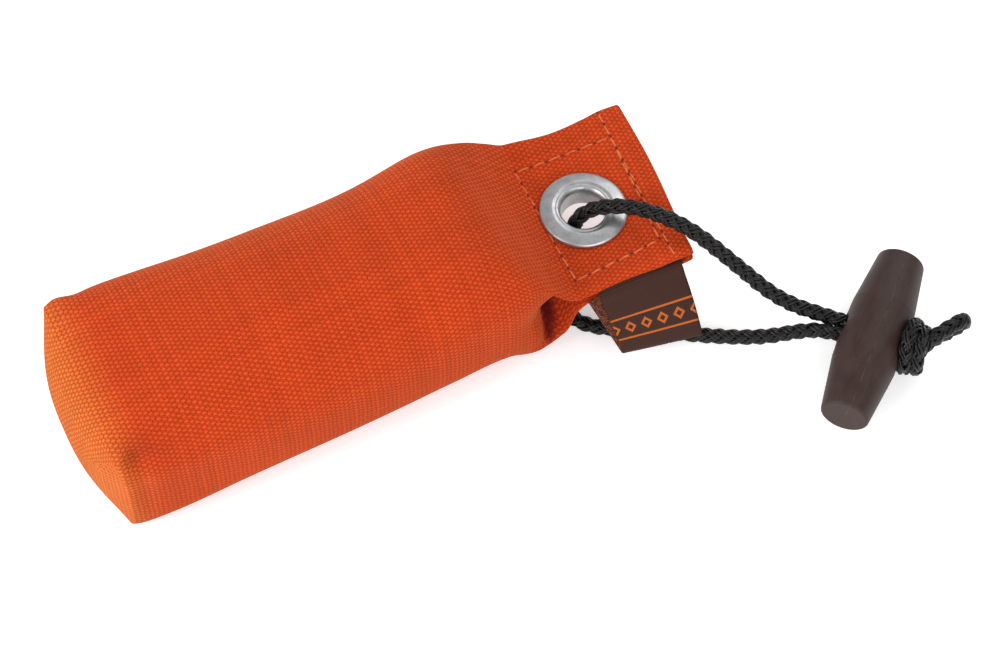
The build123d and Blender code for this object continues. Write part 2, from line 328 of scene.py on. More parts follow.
@dataclass(frozen=True)
class Canvas:
    """Heavy plain-weave canvas, matt, with painted highlight on the yarns' crowns, painted shade in the gaps
    between them and in the folds, and painted light over the stuffed end.
    """

    colour: Colour = (0.56, 0.053, 0.009)
    # Painted highlight on the yarns' crowns.
    crown: Colour = (0.66, 0.120, 0.027)
    # Painted light: the body colour over the stuffed end, paler as if lit more brightly.
    wear_and_painted_light: Colour = (0.64, 0.165, 0.026)
    crown_in_painted_light: Colour = (0.78, 0.34, 0.085)
    # Painted shade: the colour that folds and hollows are darkened towards.
    painted_crease_shade: Colour = (0.09, 0.004, 0.008)
    # Painted shade in the gaps between the yarns.
    gap: Colour = (0.345, 0.012, 0.004)
    yarn_x: float = 1.07 * MM
    yarn_s: float = 0.585 * MM
    # Where the painted light over the stuffed end fades out, in metres along the bag.
    painted_light_x: Flat = (-0.0780, -0.0650)
    uv_map: str | None = "cloth"
    name: str = "orange_canvas"

    def make(self) -> Material:
        """Build the material."""
        made = Finish(self.name)
        place, along, around = made.cloth_place(self.uv_map)
        wander = made.noise(place, 260.0) - 0.5
        x_yarn = along / self.yarn_x + wander * 0.5
        s_yarn = around / self.yarn_s + wander * 0.4
        x_wave = x_yarn.wave(2.0)
        product = x_wave * s_yarn.wave(2.0)
        over = product.ramp(-0.78, 0.62)
        under = (product * -1.0).ramp(0.1, 1.0, 0.0, 0.5)
        rib = abs(x_wave).ramp(0.10, 0.90, 0.58, 1.0)
        weave = over.math("MAXIMUM", under) * rib
        tone = made.noise(place, 55.0, 3.0) * 0.24 + self.yarn_tone(made, x_yarn, s_yarn) * 0.22
        # Painted light: the stuffed end is painted paler.
        wear_and_painted_light = self.painted_end_light(made)
        # Painted shade in the weave's gaps and painted highlight on its crowns, following the weave's
        # relief.
        body = made.mix(weave.ramp(0.05, 0.5), self.gap, made.mix(wear_and_painted_light, self.colour, self.wear_and_painted_light))
        crown = made.mix(wear_and_painted_light, self.crown, self.crown_in_painted_light)
        lit = made.mix(weave.ramp(0.62, 1.0, 0.0, 0.45), body, crown)
        shaded = made.node("HueSaturation", Color=lit, Value=tone + 0.72)
        # Painted shade: the crease layer darkens the colour in the bag's folds and hollows.
        pressed = made.node("Attribute", "Fac", {"attribute_name": "painted_crease_shade"})
        crease_shade_share = pressed.ramp(0.05, 1.0, 0.0, 0.95)
        made.surface(Base_Color=made.mix(crease_shade_share, shaded, self.painted_crease_shade), Roughness=0.9,
                     Sheen_Weight=0.36, Sheen_Roughness=0.38, Sheen_Tint=(1.0, 0.42, 0.18),
                     Specular_IOR_Level=0.08)
        made.bump(weave + made.noise(place, 4200.0, 3.0) * 0.16, 0.19 * MM)
        return made.material

    def painted_end_light(self, made: Finish) -> Signal:
        """Share of painted light that pales the cloth over the stuffed end, from 0 to 1: most at its end."""
        return made.parts(made.object_place())[0].ramp(*self.painted_light_x, 0.72, 0.0)

    @staticmethod
    def yarn_tone(made: Finish, *yarns: Signal) -> Signal:
        """Give each yarn a tone of its own, from 0 to 1, out of its number in each direction."""
        line = {"noise_dimensions": "1D"}
        first, second = (made.node("TexWhiteNoise", "Value", line, W=yarn.math("FLOOR"))
                         for yarn in yarns)
        return (first + second) * 0.5


@dataclass(frozen=True)
class Thread:
    """Sewing thread, a little paler and glossier than the canvas."""

    colour: Colour = (0.72, 0.17, 0.05)
    deep: Colour = (0.56, 0.09, 0.025)

    def make(self) -> Material:
        """Build the material."""
        made = Finish("sewing_thread")
        place = made.object_place()
        tone = made.noise(place, 900.0).ramp(0.3, 0.7)
        made.surface(Base_Color=made.mix(tone, self.deep, self.colour), Roughness=0.55,
                     Specular_IOR_Level=0.25)
        made.bump(made.noise(place, 6000.0), 0.05 * MM, 0.6)
        return made.material


@dataclass(frozen=True)
class NeedleHoleShade:
    """Painted shade: a dark bead in the dent that a needle leaves in the canvas."""

    colour: Colour = (0.10, 0.008, 0.005)
    rim: Colour = (0.2, 0.02, 0.01)

    def make(self) -> Material:
        """Build the material."""
        made = Finish("needle_hole_shade")
        tone = made.noise(made.object_place(), 1500.0)
        made.surface(Base_Color=made.mix(tone, self.colour, self.rim), Roughness=0.95)
        return made.material


@dataclass(frozen=True)
class StampedMetal:
    """Dull plated sheet with turned marks about the eyelet's axis."""

    axis: Vector
    colour: Colour = (0.47, 0.475, 0.485)
    cloudy: Colour = (0.35, 0.35, 0.36)
    grime: Colour = (0.22, 0.21, 0.21)

    def make(self) -> Material:
        """Build the material."""
        made = Finish("eyelet_metal")
        place = made.vector("SUBTRACT", made.object_place(), self.axis)
        x_part, y_part, _ = made.parts(place)
        radius = (x_part * x_part + y_part * y_part).math("SQRT")
        rings = made.node("CombineXYZ", X=radius, Y=y_part.math("ARCTAN2", x_part) * 0.0006)
        turned = made.noise(rings, 3200.0, 3.0)
        cloud = made.noise(place, 420.0, 4.0)
        base = made.mix(cloud.ramp(0.35, 0.68, 0.0, 0.7), self.colour, self.cloudy)
        dirt = made.noise(place, 1300.0, 4.0).ramp(0.56, 0.75, 0.0, 0.5)
        made.surface(Base_Color=made.mix(dirt, base, self.grime), Metallic=0.85,
                     Roughness=turned.ramp(0.3, 0.7, 0.28, 0.44))
        made.bump(turned + cloud * 0.6, 0.035 * MM, 0.7)
        return made.material


class WovenGround(Enum):
    """Which face of the woven label shows."""

    FACE = "face"
    REVERSE = "reverse"


@dataclass(frozen=True)
class LabelTwill:
    """Fine twill with a plain woven border of lines and lozenges, or its speckled reverse."""

    ground: WovenGround
    width: float
    drop: float
    brown: Colour = (0.058, 0.019, 0.012)
    orange: Colour = (0.56, 0.13, 0.018)
    rib: float = 0.52 * MM
    pick: float = 0.26 * MM
    half_band: float = 3.1 * MM
    half_line: float = 0.28 * MM
    lozenges: int = 5

    def make(self) -> Material:
        """Build the material."""
        made = Finish(f"label_{self.ground.value}")
        place, across, down = made.cloth_place("label")
        weave = (across + down * 0.8).wave(self.rib) * 0.35 + down.wave(self.pick) * 0.15
        if self.ground is WovenGround.FACE:
            shown = self.border(across, down)
        else:
            shown = self.flecks(made, place, across, down)
        # Painted shade and highlight: darker and lighter copies of each yarn colour follow the twill's ribs.
        deep = made.mix(weave.ramp(-0.5, 0.5), shade(self.brown, 0.42), shade(self.brown, 1.12))
        bright = made.mix(weave.ramp(-0.5, 0.5), shade(self.orange, 0.7), self.orange)
        made.surface(Base_Color=made.mix(shown, deep, bright), Roughness=0.7, Sheen_Weight=0.06,
                     Sheen_Roughness=0.4, Specular_IOR_Level=0.2)
        made.bump(weave + shown * 0.5, 0.07 * MM, 0.8)
        return made.material

    @staticmethod
    def flecks(made: Finish, place: Signal, across: Signal, down: Signal) -> Signal:
        """Scatter short floats of the orange yarn, as on the back of the weave."""
        dots = (across.wave(0.9 * MM) * down.wave(0.62 * MM)).ramp(0.25, 0.45)
        return dots * made.noise(place, 900.0).ramp(0.42, 0.50) * 0.85

    def border(self, across: Signal, down: Signal) -> Signal:
        """Weave two lines with a row of lozenges between them.

        Args:
            across: Place across the label, from its middle, in metres.
            down: Place down the label, from its root, in metres.

        Returns:
            Share of the orange yarn, from 0 to 1.
        """
        off = abs(down - 0.60 * self.drop)
        line = abs(off - self.half_band).math("LESS_THAN", self.half_line)
        pitch = self.width / self.lozenges
        cell = abs((across / pitch + 10.0).math("FRACT") - 0.5)
        reach = cell * pitch / (1.55 * MM) + off / (1.75 * MM)
        lozenge = reach.math("LESS_THAN", 1.0) - reach.math("LESS_THAN", 0.48)
        return line.math("MAXIMUM", lozenge)


@dataclass(frozen=True)
class BraidedNylon:
    """Black braid yarn with a soft gloss."""

    colour: Colour = (0.0035, 0.003, 0.003)
    dusty: Colour = (0.008, 0.007, 0.007)

    def make(self) -> Material:
        """Build the material."""
        made = Finish("black_braid")
        place = made.object_place()
        tone = made.noise(place, 700.0).ramp(0.3, 0.75)
        made.surface(Base_Color=made.mix(tone, self.colour, self.dusty),
                     Roughness=tone.ramp(0.0, 1.0, 0.27, 0.38), Specular_IOR_Level=0.27)
        made.bump(made.noise(place, 4200.0), 0.035 * MM, 0.5)
        return made.material


@dataclass(frozen=True)
class MeltedNylon:
    """Cord ends fused by heat: glossier and greyer on their rim."""

    colour: Colour = (0.02, 0.02, 0.02)
    ash: Colour = (0.11, 0.10, 0.10)

    def make(self) -> Material:
        """Build the material."""
        made = Finish("melted_nylon")
        place = made.object_place()
        burnt = made.noise(place, 900.0, 3.0).ramp(0.45, 0.7)
        made.surface(Base_Color=made.mix(burnt, self.colour, self.ash), Roughness=0.38)
        made.bump(made.noise(place, 1400.0), 0.2 * MM, 0.8)
        return made.material


@dataclass(frozen=True)
class MouldedPlastic:
    """Satin dark brown plastic with flow marks and a faint parting line along the toggle."""

    middle: Vector
    along: Vector
    through: Vector
    seam_turn: float = math.radians(10.0)
    colour: Colour = (0.032, 0.0135, 0.0095)
    pale: Colour = (0.042, 0.025, 0.022)
    scuff: Colour = (0.11, 0.085, 0.08)

    def make(self) -> Material:
        """Build the material."""
        made = Finish("toggle_plastic")
        place = made.object_place()
        pressed = made.vector("DOT_PRODUCT", place, self.along) * -0.8
        streaks = made.noise(made.vector("MULTIPLY_ADD", self.along, pressed, place), 900.0, 3.0)
        tone = made.noise(place, 150.0, 5.0) * 0.6 + streaks * 0.4
        base = made.mix(tone.ramp(0.36, 0.64), self.colour, self.pale)
        specks = made.noise(place, 2400.0).ramp(0.68, 0.76, 0.0, 0.4)
        seam = self.parting_line(made, place)
        wear_and_painted_light = seam * made.noise(place, 400.0).ramp(0.38, 0.62, 0.0, 0.42)
        made.surface(Base_Color=made.mix(specks.math("MAXIMUM", wear_and_painted_light), base, self.scuff),
                     Roughness=tone.ramp(0.35, 0.65, 0.46, 0.60), Specular_IOR_Level=0.26)
        made.bump(made.noise(place, 3200.0, 3.0) * 0.4 + seam, 0.06 * MM, 0.7)
        return made.material

    def parting_line(self, made: Finish, place: Signal) -> Signal:
        """A thin band where the two halves of the mould met, from 0 to 1."""
        aside = self.through * math.cos(self.seam_turn) - UP * math.sin(self.seam_turn)
        off = abs(made.vector("DOT_PRODUCT", place, aside) - aside.dot(self.middle))
        return off.ramp(0.04 * MM, 0.16 * MM, 1.0, 0.0)


# --- camera, light and floor ---
class Lamp(NamedTuple):
    """A square soft lamp: where it hangs, its side, and its power in watts."""

    name: str
    place: Sequence[float]
    size: float
    power: float


@dataclass
class Studio:
    """Pale table, soft light and the camera."""

    azimuth: float = -25.5
    elevation: float = 59.0
    lens: float = 95.0
    distance: float = 0.630
    ambient: float = 0.58
    aim: Vector = field(default_factory=lambda: Vector((0.0242, -0.0123, 0.0)))
    lamps: Sequence[Lamp] = (
        Lamp("key_panel", (-0.78, 0.0, 0.45), 0.55, 6.4),
        Lamp("fill_panel", (0.05, -0.78, 0.42), 0.7, 3.8),
        Lamp("right_panel", (0.62, 0.28, 0.62), 0.6, 2.4),
    )

    def build(self) -> None:
        """Make the camera, the floor, the lamps and the world."""
        self.camera()
        self.floor()
        for lamp in self.lamps:
            data = bpy.data.lights.new(lamp.name, "AREA")
            data.size = lamp.size
            data.energy = lamp.power
            panel = add_object(lamp.name, data)
            panel.location = lamp.place
            panel.rotation_euler = (self.aim - panel.location).to_track_quat("-Z", "Y").to_euler()
        self.world()
        bpy.context.scene.view_settings.view_transform = "Standard"

    def camera(self) -> None:
        """Place the camera on its bearing round the aim point."""
        turn, lift = math.radians(self.azimuth), math.radians(self.elevation)
        back = Vector((math.sin(turn) * math.cos(lift), -math.cos(turn) * math.cos(lift),
                       math.sin(lift)))
        data = bpy.data.cameras.new("camera")
        data.lens = self.lens
        data.clip_start = 0.01
        data.clip_end = 20.0
        camera = add_object("camera", data)
        camera.location = self.aim + back * self.distance
        camera.rotation_euler = (-back).to_track_quat("-Z", "Y").to_euler()
        bpy.context.scene.camera = camera

    @staticmethod
    def floor() -> None:
        """Lay a pale floor that shows white to the camera but keeps the shadow."""
        form = bmesh.new()
        bmesh.ops.create_grid(form, x_segments=1, y_segments=1, size=4.0)
        made = Finish("pale_floor")
        path = made.tree.nodes.new("ShaderNodeLightPath")
        camera, glossy, clear = (Signal(made.tree, path.outputs[f"Is {kind} Ray"])
                                 for kind in ("Camera", "Glossy", "Transmission"))
        seen = camera.math("MAXIMUM", glossy).math("MAXIMUM", clear)
        made.surface(Base_Color=(0.86, 0.86, 0.86), Roughness=1.0, Specular_IOR_Level=0.0)
        both = made.tree.nodes.new("ShaderNodeAddShader")
        feed(both.inputs[0], Signal(made.tree, made.shader.outputs[0]))
        feed(both.inputs[1], made.node("Emission", Color=WHITE, Strength=seen * 0.45))
        made.tree.links.new(both.outputs[0], made.tree.nodes["Material Output"].inputs["Surface"])
        add_object("floor", mesh_from(form, "floor"), made.material)

    def world(self) -> None:
        """Light everything evenly, and show white behind it."""
        world = bpy.data.worlds.new("studio")
        world.use_nodes = True
        tree = world.node_tree
        light = tree.nodes["Background"]
        feed(light.inputs[0], WHITE)
        path = tree.nodes.new("ShaderNodeLightPath")
        share = tree.nodes.new("ShaderNodeMapRange")
        feed(share.inputs[0], Signal(tree, path.outputs["Is Camera Ray"]))
        feed(share.inputs[3], self.ambient)
        feed(share.inputs[4], 1.0)
        feed(light.inputs[1], Signal(tree, share.outputs[0]))
        bpy.context.scene.world = world


# --- cord ---
def curve(name: str, thickness: float = 0.0, rounding: int = 0) -> Curve:
    """Start an empty curve in space, as a bare line or a round cord of some radius."""
    data = bpy.data.curves.new(name, "CURVE")
    data.dimensions = "3D"
    data.bevel_depth = thickness
    data.bevel_resolution = rounding
    data.use_fill_caps = True
    return data


def add_spline(data: Curve, kind: str, points: Sequence[Vector]) -> bpy.types.Spline:
    """Add a line of points to a curve."""
    spline = data.splines.new(kind)
    spline.points.add(len(points) - 1)
    for made, point in zip(spline.points, points):
        made.co = (*point, 1.0)
    return spline


def mesh_of(data: Curve) -> Mesh:
    """Turn a curve into a mesh and drop the curve."""
    holder = add_object(data.name, data)
    bpy.context.view_layer.update()
    depsgraph = bpy.context.evaluated_depsgraph_get()
    mesh = bpy.data.meshes.new_from_object(holder.evaluated_get(depsgraph))
    bpy.data.objects.remove(holder)
    bpy.data.curves.remove(data)
    return mesh


def smooth_line(points: Sequence[Vector], resolution: int = 24) -> list[Vector]:
    """Read close points off the NURBS line of given control points.

    Args:
        points: The control points.
        resolution: Steps for each of them.

    Returns:
        Points along the line, in order.
    """
    data = curve("route")
    data.resolution_u = resolution
    spline = add_spline(data, "NURBS", points)
    spline.order_u = 3
    spline.use_endpoint_u = True
    mesh = mesh_of(data)
    found = [vertex.co.copy() for vertex in mesh.vertices]
    bpy.data.meshes.remove(mesh)
    return found


class Station(NamedTuple):
    """A point of a cord's middle line, with two unit vectors across the line."""

    middle: Vector
    across: Vector
    over: Vector


@dataclass
class Braid:
    """Eight carriers of two yarns each, braided round a core."""

    radius: float = 1.30 * MM
    weave: float = 0.25 * MM
    yarn: float = 0.40 * MM
    lay: float = 12.8 * MM
    carriers: int = 4
    step: float = 0.42 * MM
    core: float = 1.0 * MM
    closeness: float = 0.97

    def mesh(self, name: str, line: Sequence[Vector]) -> Mesh:
        """Braid a mesh tube along a line.

        Args:
            name: The mesh's name.
            line: Points along the middle of the cord.

        Returns:
            The braid.
        """
        line = evenly(line, self.step)
        stations = self.stations(line)
        yarns = curve(name, self.yarn, 1)
        for turn in (1, -1):
            for carrier in range(self.carriers):
                for side in (-0.5, 0.5):
                    add_spline(yarns, "POLY", self.strand(stations, turn, carrier, side))
        core = curve(name, self.core, 2)
        add_spline(core, "POLY", line)
        form = bmesh.new()
        for part in (yarns, core):
            form.from_mesh(mesh_of(part))
        bmesh.ops.remove_doubles(form, verts=form.verts, dist=1e-7)
        return mesh_from(form, name)

    @staticmethod
    def stations(line: Sequence[Vector]) -> list[Station]:
        """Carry a frame along a line without twist."""
        found = []
        side = None
        for index, middle in enumerate(line):
            ahead = (line[min(index + 1, len(line) - 1)] - line[max(index - 1, 0)]).normalized()
            if side is None:
                side = ahead.orthogonal().normalized()
            side = (side - ahead * side.dot(ahead)).normalized()
            found.append(Station(middle, side, ahead.cross(side)))
        return found

    def strand(self, stations: Sequence[Station], turn: int, carrier: int,
               side: float) -> list[Vector]:
        """Wind one yarn of the braid.

        Args:
            stations: The cord's middle line.
            turn: 1 for yarns that wind one way, -1 for the other.
            carrier: Number of the carrier.
            side: Place of the yarn in its carrier's pair.

        Returns:
            Points along the yarn.
        """
        spacing = 2 * math.pi / self.carriers
        aside = side * 2 * self.yarn * self.closeness / self.radius
        start = carrier * spacing + (0.0 if turn > 0 else spacing / 2)
        points = []
        for index, station in enumerate(stations):
            carried = turn * 2 * math.pi * index * self.step / self.lay + start
            reach = self.radius + turn * self.weave * math.cos(2 * carried - math.pi / 4)
            angle = carried + aside
            points.append(station.middle + station.across * math.cos(angle) * reach
                          + station.over * math.sin(angle) * reach)
        return points


@dataclass
class ToggleFrame:
    """Directions of the toggle: along it, and through its cross hole towards the knot."""

    middle: Vector = field(default_factory=lambda: middle_of("toggle"))
    turn: float = math.radians(43.2)

    @property
    def along(self) -> Vector:
        """Unit vector along the toggle."""
        return Vector((math.cos(self.turn), math.sin(self.turn), 0.0))

    @property
    def through(self) -> Vector:
        """Unit vector through the cross hole, away from the eyelet."""
        return Vector((math.sin(self.turn), -math.cos(self.turn), 0.0))

    def at(self, through: float, along: float, height: float = 0.0) -> Vector:
        """The point at millimetres through the cross hole, along the toggle and over its axis."""
        return self.middle + (self.through * through + self.along * along + UP * height) * MM


@dataclass
class CordLoop:
    """The braided loop from the knot through toggle and eyelet and back, and the knot itself."""

    toggle: ToggleFrame
    braid: Braid
    diameter: float = 3.5 * MM
    length: float = 195.8 * MM
    strand: float = 1.85
    knot_face: float = 8.2
    seat: float = 0.02
    plug: Sequence[float] = (0.60, 2.95, 1.95)

    def points(self) -> list[Vector]:
        """Control points of the loop, the same as the solid's."""
        far = self.strand
        place = self.toggle.at
        over_and_under = (
            (84.3, -39.0, 12.0), (76.8, -28.0, 19.0), (69.9, -18.0, 24.7), (61.6, -9.4, 26.4),
            (53.6, -4.4, 25.2), (48.9, -2.3, 20.6), (47.9, -3.0, 14.4), (44.7, -6.0, 9.2),
            (41.2, -10.0, 5.2), (40.0, -15.0, 2.8), (42.7, -19.9, 2.1), (49.5, -24.6, 2.1),
            (58.6, -29.4, 2.1), (68.2, -35.5, 2.1), (79.0, -41.6, 2.8), (86.6, -45.3, 6.0),
        )
        return [
            place(self.knot_face - self.seat, far), place(0, far, 0.05), place(-11, far, 0.1),
            *(Vector(point) * MM for point in over_and_under),
            place(-11, -far, 0.1), place(0, -far, 0.05), place(self.knot_face - self.seat, -far),
        ]

    def knot_lines(self) -> list[list[Vector]]:
        """Both strands from the toggle through the knot to the tail's end."""
        near = (
            (7.4, -1.85, 0.1), (8.6, -2.2, -1.6), (9.0, -4.2, -2.6), (8.8, -4.6, 2.0),
            (8.1, -2.0, 5.8), (8.2, 2.8, 6.3), (8.8, 5.5, 3.0), (9.4, 5.1, -2.4),
            (9.9, 1.8, -4.0), (10.6, 0.0, -1.2), (11.0, 1.3, 1.0), (12.8, 3.2, 1.7),
            (15.3, 6.3, 1.3), (17.5, 9.5, 0.9), (18.6, 11.1, 0.8),
        )
        far = (
            (7.4, 1.85, 0.1), (8.8, 2.6, -2.0), (10.2, 0.8, -3.6), (11.5, -3.1, -2.6),
            (11.5, -4.2, 1.2), (10.8, -1.8, 4.6), (10.7, 2.2, 5.2), (11.2, 4.7, 2.4),
            (11.1, 3.9, -1.8), (10.7, 0.9, -2.4), (11.3, 0.0, 1.2), (13.0, 2.4, 4.0),
            (15.5, 5.9, 4.2), (17.5, 9.0, 3.7), (18.8, 10.7, 3.5),
        )
        return [[self.toggle.at(*point) for point in strand] for strand in (near, far)]

    def build(self, yarn: Material, melted: Material) -> None:
        """Make the loop, its knot and the melted end.

        Args:
            yarn: The yarn's finish.
            melted: Finish of the fused end.
        """
        line = smooth_line(self.points())
        loop = add_object("cord_braid", self.braid.mesh("cord_braid", line), yarn)
        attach(loop, "loop")
        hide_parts("cord_loop")
        knot = self.knot(yarn)
        end = self.melted_end(melted)
        [tuple(point) for point in evenly(line, 1.0 * MM)]
        LOG.info("cord loop of %.0f mm, with its knot and melted end", line_length(line) / MM)

    def knot(self, yarn: Material) -> Piece:
        """Tie the double overhand knot, tails included."""
        form = bmesh.new()
        for strand in self.knot_lines():
            form.from_mesh(self.braid.mesh("knot_strand", smooth_line(strand)))
        knot = add_object("knot_and_tails", mesh_from(form, "knot_and_tails"), yarn)
        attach(knot, "loop")
        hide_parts("cord_knot", "cord_tails")
        return knot

    def melted_end(self, melted: Material) -> Piece:
        """Press the melted plug across both tails' ends."""
        form = bmesh.new()
        bmesh.ops.create_uvsphere(form, u_segments=32, v_segments=16, radius=1.0)
        low, high = self.knot_lines()
        middle = (low[-1] + high[-1]) / 2
        across = (high[-1] - low[-1]).normalized()
        out = (low[-1] - low[-2] + high[-1] - high[-2]).normalized()
        out = (out - across * out.dot(across)).normalized()
        turned = Matrix((out, across, out.cross(across))).transposed().to_4x4()
        deep, wide, tall = self.plug
        for vertex in form.verts:
            x, y, z = vertex.co
            bulge = 1.0 + 0.45 * math.hypot(y, z)
            ripple = 1.0 + 0.07 * math.sin(3 * math.atan2(z, y) + 0.6)
            vertex.co = Vector((deep * x * bulge, wide * y * ripple, tall * z * ripple)) * MM
        form.transform(Matrix.Translation(middle + out * 0.45 * MM) @ turned)
        end = add_object("melted_end", mesh_from(form, "melted_end"), melted)
        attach(end, "loop")
        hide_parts("cord_melt")
        return end


# --- bag ---
# Sizes of the sewn cloth, in millimetres.
PANEL = 46.0
GUSSET = 30.0
PERIMETER = 2 * (PANEL + GUSSET)
# Where each side starts, counted round the bag from the middle of its underside.
NEAR_SIDE = PANEL / 2
TOP_SIDE = NEAR_SIDE + GUSSET
FAR_SIDE = TOP_SIDE + PANEL
UNDERSIDE = FAR_SIDE + GUSSET
# Half the tab's width, and the height of its middle.
TAB_HALF = 23.0
TAB_HEIGHT = 19.0
# Where the cloth starts to follow the tab, and where it follows the tab alone, in metres.
FLEX_FROM = (0.0325, 0.0, 0.019)
FLEX_TO = (0.0455, 0.0, 0.019)


@dataclass(frozen=True)
class Dent:
    """A soft hollow or ridge at a place along the bag and round it, and how much shade it paints into the
    canvas's colour.
    """

    along: float
    around: float
    reach_along: float
    reach_around: float
    depth: float
    shade: float = 0.0

    def share(self, along: float, around: float) -> float:
        """Share of the dent at a place, from 0 to 1."""
        turn = around - self.around
        turn -= PERIMETER * round(turn / PERIMETER)
        away = (along - self.along) / self.reach_along
        return math.exp(-away ** 2 - (turn / self.reach_around) ** 2)


class Ring(NamedTuple):
    """A closed row of the skin: its places along the bag, its section, its place on the cloth."""

    xs: list[float]
    section: list[Flat]
    run: float


@dataclass
class CanvasSkin:
    """Bag and tab as one tube of canvas: belly, shoulder folded inwards, flat tab, hemmed mouth.

    A section starts at the underside's middle and goes round the near side.
    """

    end: float = -73.4
    bulge: float = 6.6
    end_powers: Flat = (2.5, 3.0)
    end_height_power: float = 2.6
    end_rounding: float = 0.75
    end_run: float = 3.0
    tab_end: float = 71.0
    panel_steps: int = 36
    gusset_steps: int = 12
    cap_rows: int = 14
    section_steps: int = 720
    skew: float = 0.066
    mouth_wave: float = 0.38
    edge_wave: float = 0.30
    whole_from: int = 3
    dented_from: int = 11
    corner_from: float = 20.0
    half_slit: float = 0.8
    nose: float = 0.9
    hole: float = 5.8
    widest: float = 0.48
    shoulder: Flat = (22.0, 39.0)
    half_width: Keys = ((-75, 23.5), (-67, 25.5), (-50, 26), (-20, 25.6), (0, 25.2), (20, 25.4),
                        (30, 25), (40, 23.2))
    middle_y: Keys = ((-75, -0.2), (-50, -0.9), (-10, -1.05), (6, -0.5), (22, 0.7), (30, 0.6),
                      (38, 0))
    low: Keys = ((-75, -0.3), (-50, -0.6), (14, -0.6), (24, 0.4), (31, 3.6), (36, 8.6), (41, 14.2),
                 (46, 16.6), (51, 17.2), (61.5, 17.2), (65, 16.6), (71, 16.7))
    high: Keys = ((-75, 29), (-68, 33), (-50, 37.5), (-25, 38.8), (0, 39.4), (16, 39.6), (24, 36.4),
                  (31, 29.5), (36, 24.3), (41, 20.8), (61.8, 20.8), (65, 21.3), (71, 21.1))
    upper_power: Keys = ((-75, 8), (-66, 4.5), (-48, 2.7), (-20, 2.35), (4, 2.5), (20, 3.2),
                         (38, 5))
    lower_power: Keys = ((-75, 7), (-66, 5.4), (-48, 3.8), (-20, 3.2), (10, 2.9), (24, 3.2),
                         (34, 5))
    folded_width: Keys = ((10, 24.5), (30, 23.6), (39, 23), (71, 23))
    fold_depth: Keys = ((12, 3), (24, 8), (33, 11), (39, 12.5), (71, 12.5))
    fold_lift: Keys = ((20, 0), (30, -2), (36, -0.8), (40, 0))
    row_spacing: Keys = ((-65.4, 0.9), (12, 1.35), (27, 1.1), (41, 0.7), (44, 1.1), (67, 1.35),
                         (math.inf, 0.7))
    hem_rows: Keys = ((0.25, -0.30), (0.55, -0.35), (0.85, -0.1), (0.9, 0.8), (0.9, 3.0),
                      (0.9, 6.0))
    # A dent's sixth number is painted shade that darkens the canvas's colour there; dents of depth 0 are
    # painted shade alone.
    dents: Sequence[Dent] = tuple(Dent(*numbers) for numbers in (
        (-69, 51.6, 3, 3.3, 2), (-68, 53.5, 6, 6, 0, 0.42), (-60, 50, 6, 3, 0.7),
        (-72.4, 40, 1.4, 12, -0.6), (-69, 40, 2.2, 9, 0.6), (-72, 99, 4, 4.5, -1.9),
        (-40, 50, 14, 9, -0.45), (-72.4, 55, 1.6, 2.6, -1.1), (-46, 84, 12, 11, 0.4),
        (8, 72, 12, 13, 0.5), (-12, 57, 17, 8, 0.45), (34, 97, 7, 8, -1.7), (44, 99, 7, 5, -1),
        (33.5, 46, 4.5, 4, -1.3), (35.1, 34, 1.6, 4, 6.6), (33.8, 29, 1.5, 3.4, 4.6),
        (32.6, 25, 1.3, 2.6, 1.2), (30.3, 33, 2.2, 7, -1.2), (37.4, 25, 2.4, 5, -1.5),
        (35.9, 34, 1.7, 4.4, 0, 1), (34.6, 28.5, 1.6, 3.4, 0, 0.95),
        (33.2, 24.5, 1.3, 2.6, 0, 0.75), (33.5, 20.5, 2.5, 4, -1.3), (27.5, 17.5, 7, 6, -2.4),
        (20, 60, 4, 10, 0.5), (35, 122, 2.2, 6, 5, 0.5), (-69, 103, 4, 4, 1),
        (-71, 20, 3.5, 5, -0.8),
    ))

    def belly(self, x: float) -> list[Flat]:
        """The round section at x.

        Args:
            x: Place along the bag in millimetres.

        Returns:
            Points of the ring, one for each of its steps and the first again.
        """
        wide, low, high = (keyed(keys, x) for keys in (self.half_width, self.low, self.high))
        centre, off = low + self.widest * (high - low), keyed(self.middle_y, x)
        path = []
        for number in range(self.section_steps + 1):
            angle = -math.pi / 2 - 2 * math.pi * number / self.section_steps
            cos, sin = math.cos(angle), math.sin(angle)
            power = keyed(self.upper_power if sin > 0 else self.lower_power, x)
            tall = high - centre if sin > 0 else centre - low
            y = wide * math.copysign(abs(cos) ** (2 / power), cos)
            path.append((y + off, centre + tall * math.copysign(abs(sin) ** (2 / power), sin)))
        whole = spaced(path, round(PERIMETER * 4))
        return [whole[round(share * (len(whole) - 1))] for share in self.shares]

    @cached_property
    def shares(self) -> list[float]:
        """Share of the perimeter at each step of a ring."""
        half = (PANEL / 2, self.panel_steps // 2)
        side = (GUSSET, 2 * self.gusset_steps)
        found = [0.0]
        for length, steps in (half, side, (PANEL, self.panel_steps), side, half):
            start = found[-1]
            found += [start + length * (number + 1) / steps / PERIMETER for number in range(steps)]
        return found

